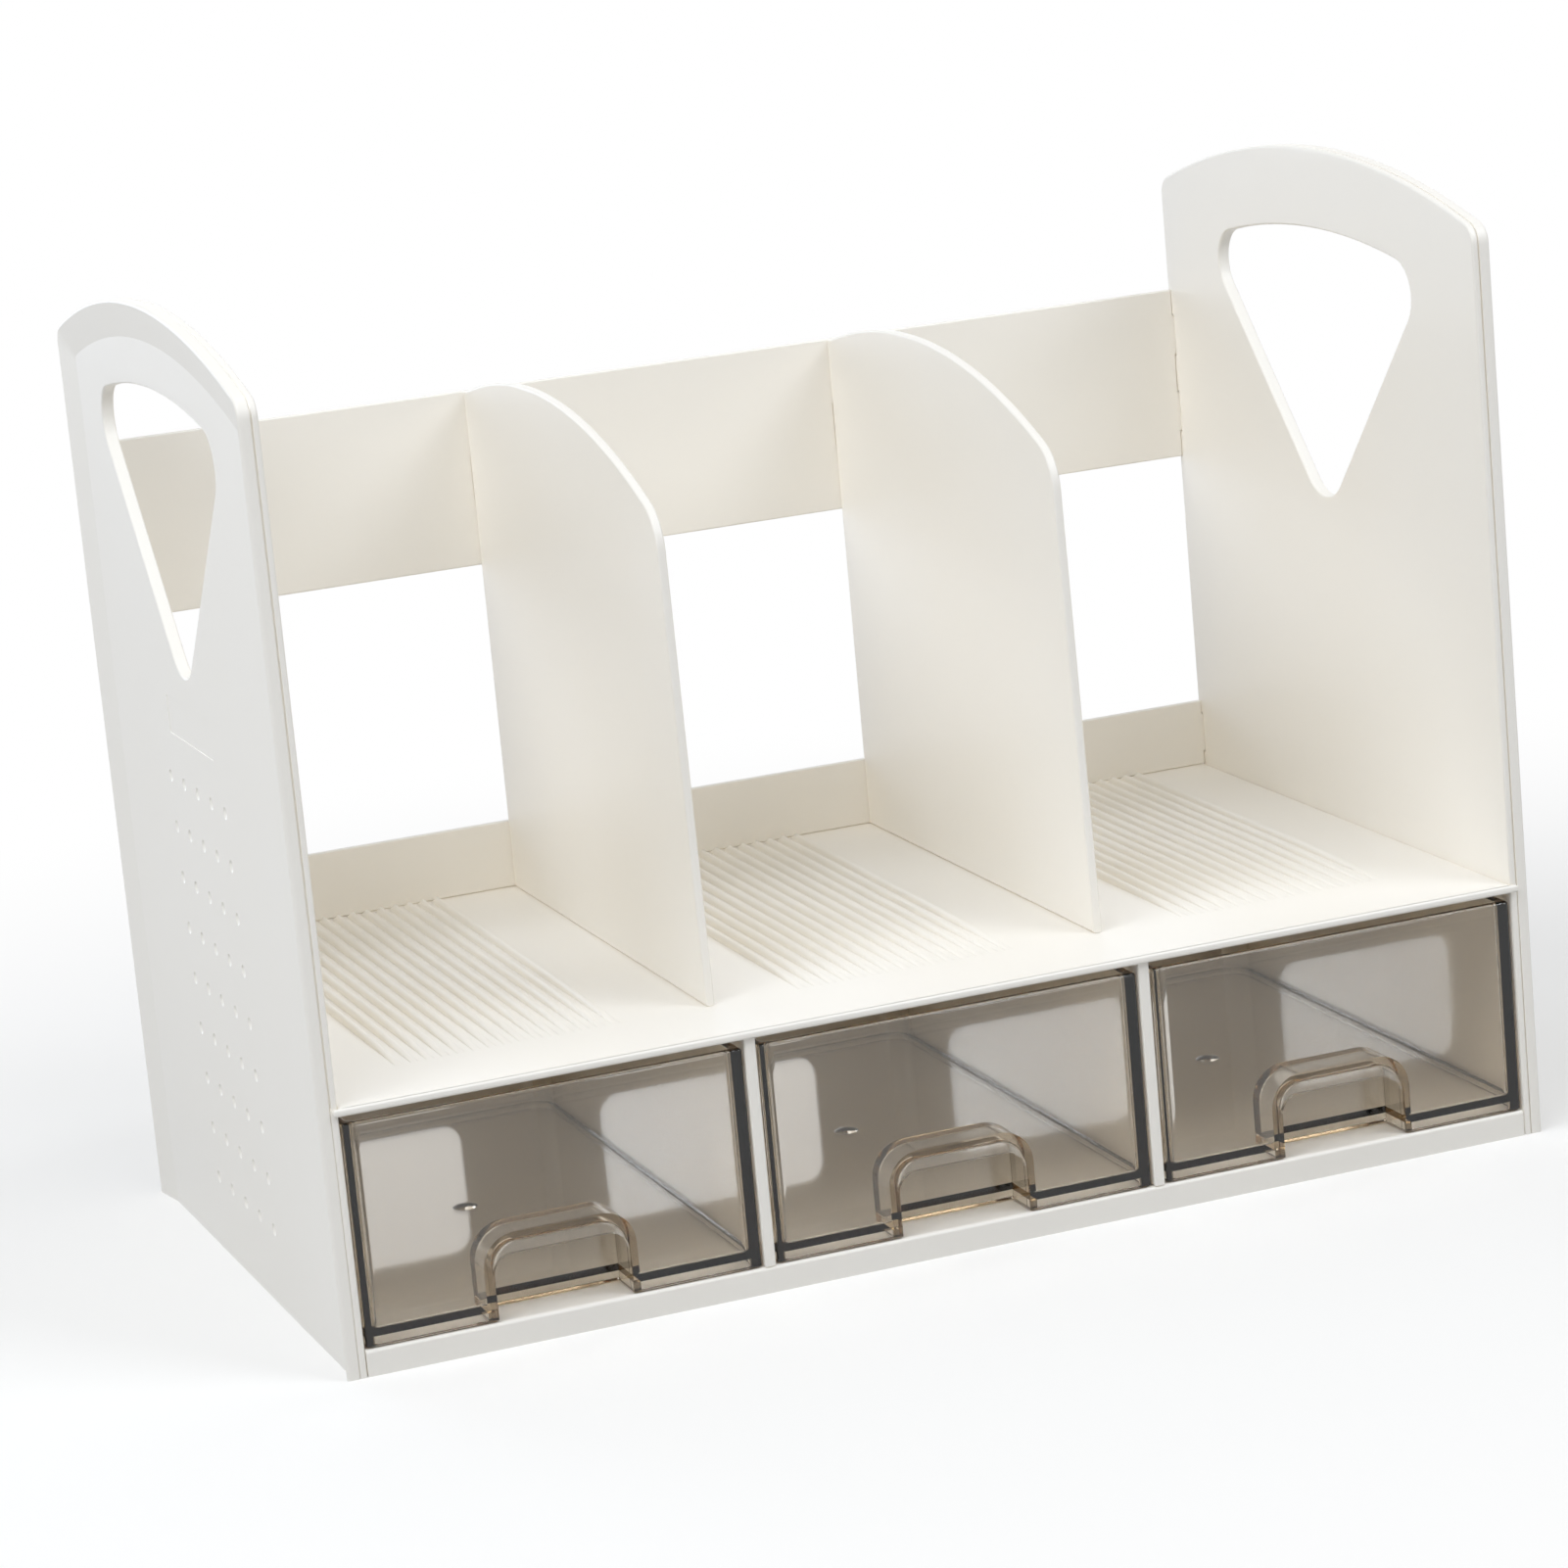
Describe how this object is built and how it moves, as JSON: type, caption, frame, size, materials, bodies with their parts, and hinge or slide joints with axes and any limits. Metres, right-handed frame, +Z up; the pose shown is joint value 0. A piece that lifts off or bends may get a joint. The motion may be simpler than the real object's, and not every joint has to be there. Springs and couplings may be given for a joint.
{
  "type": "desktop organizer with drawers",
  "caption": "free-standing desktop book stand with arched carrying side panels, upright dividers, open back rails and a row of smoke-tinted sliding drawers under a ribbed shelf",
  "frame": {"origin": "centre of the footprint on the table surface", "axes": "+X to the user's right, +Y to the back, +Z up; drawers open towards -Y"},
  "size_m": [0.351, 0.1986, 0.272],
  "materials": {
    "ivory_plastic": "injection-moulded ivory polystyrene, satin",
    "smoke_plastic": "injection-moulded smoke-tinted clear polystyrene, polished"
  },
  "bodies": {
    "housing": {"left_outer_panel": "ivory_plastic", "right_outer_panel": "ivory_plastic", "left_inner_panel": "ivory_plastic", "right_inner_panel": "ivory_plastic", "base_plate": "ivory_plastic", "rear_panel": "ivory_plastic", "left_partition": "ivory_plastic", "right_partition": "ivory_plastic", "shelf_deck": "ivory_plastic", "left_divider": "ivory_plastic", "right_divider": "ivory_plastic", "upper_back_rail": "ivory_plastic", "lower_back_rail": "ivory_plastic"},
    "drawer_l": {"left_drawer": "smoke_plastic"},
    "drawer_m": {"middle_drawer": "smoke_plastic"},
    "drawer_r": {"right_drawer": "smoke_plastic"}
  },
  "joints": [
    {"name": "left_drawer_slide", "type": "slide", "parent": "housing", "child": "drawer_l", "axis": [0, -1, 0], "range_m": [0, 0.14]},
    {"name": "middle_drawer_slide", "type": "slide", "parent": "housing", "child": "drawer_m", "axis": [0, -1, 0], "range_m": [0, 0.14]},
    {"name": "right_drawer_slide", "type": "slide", "parent": "housing", "child": "drawer_r", "axis": [0, -1, 0], "range_m": [0, 0.14]}
  ]
}
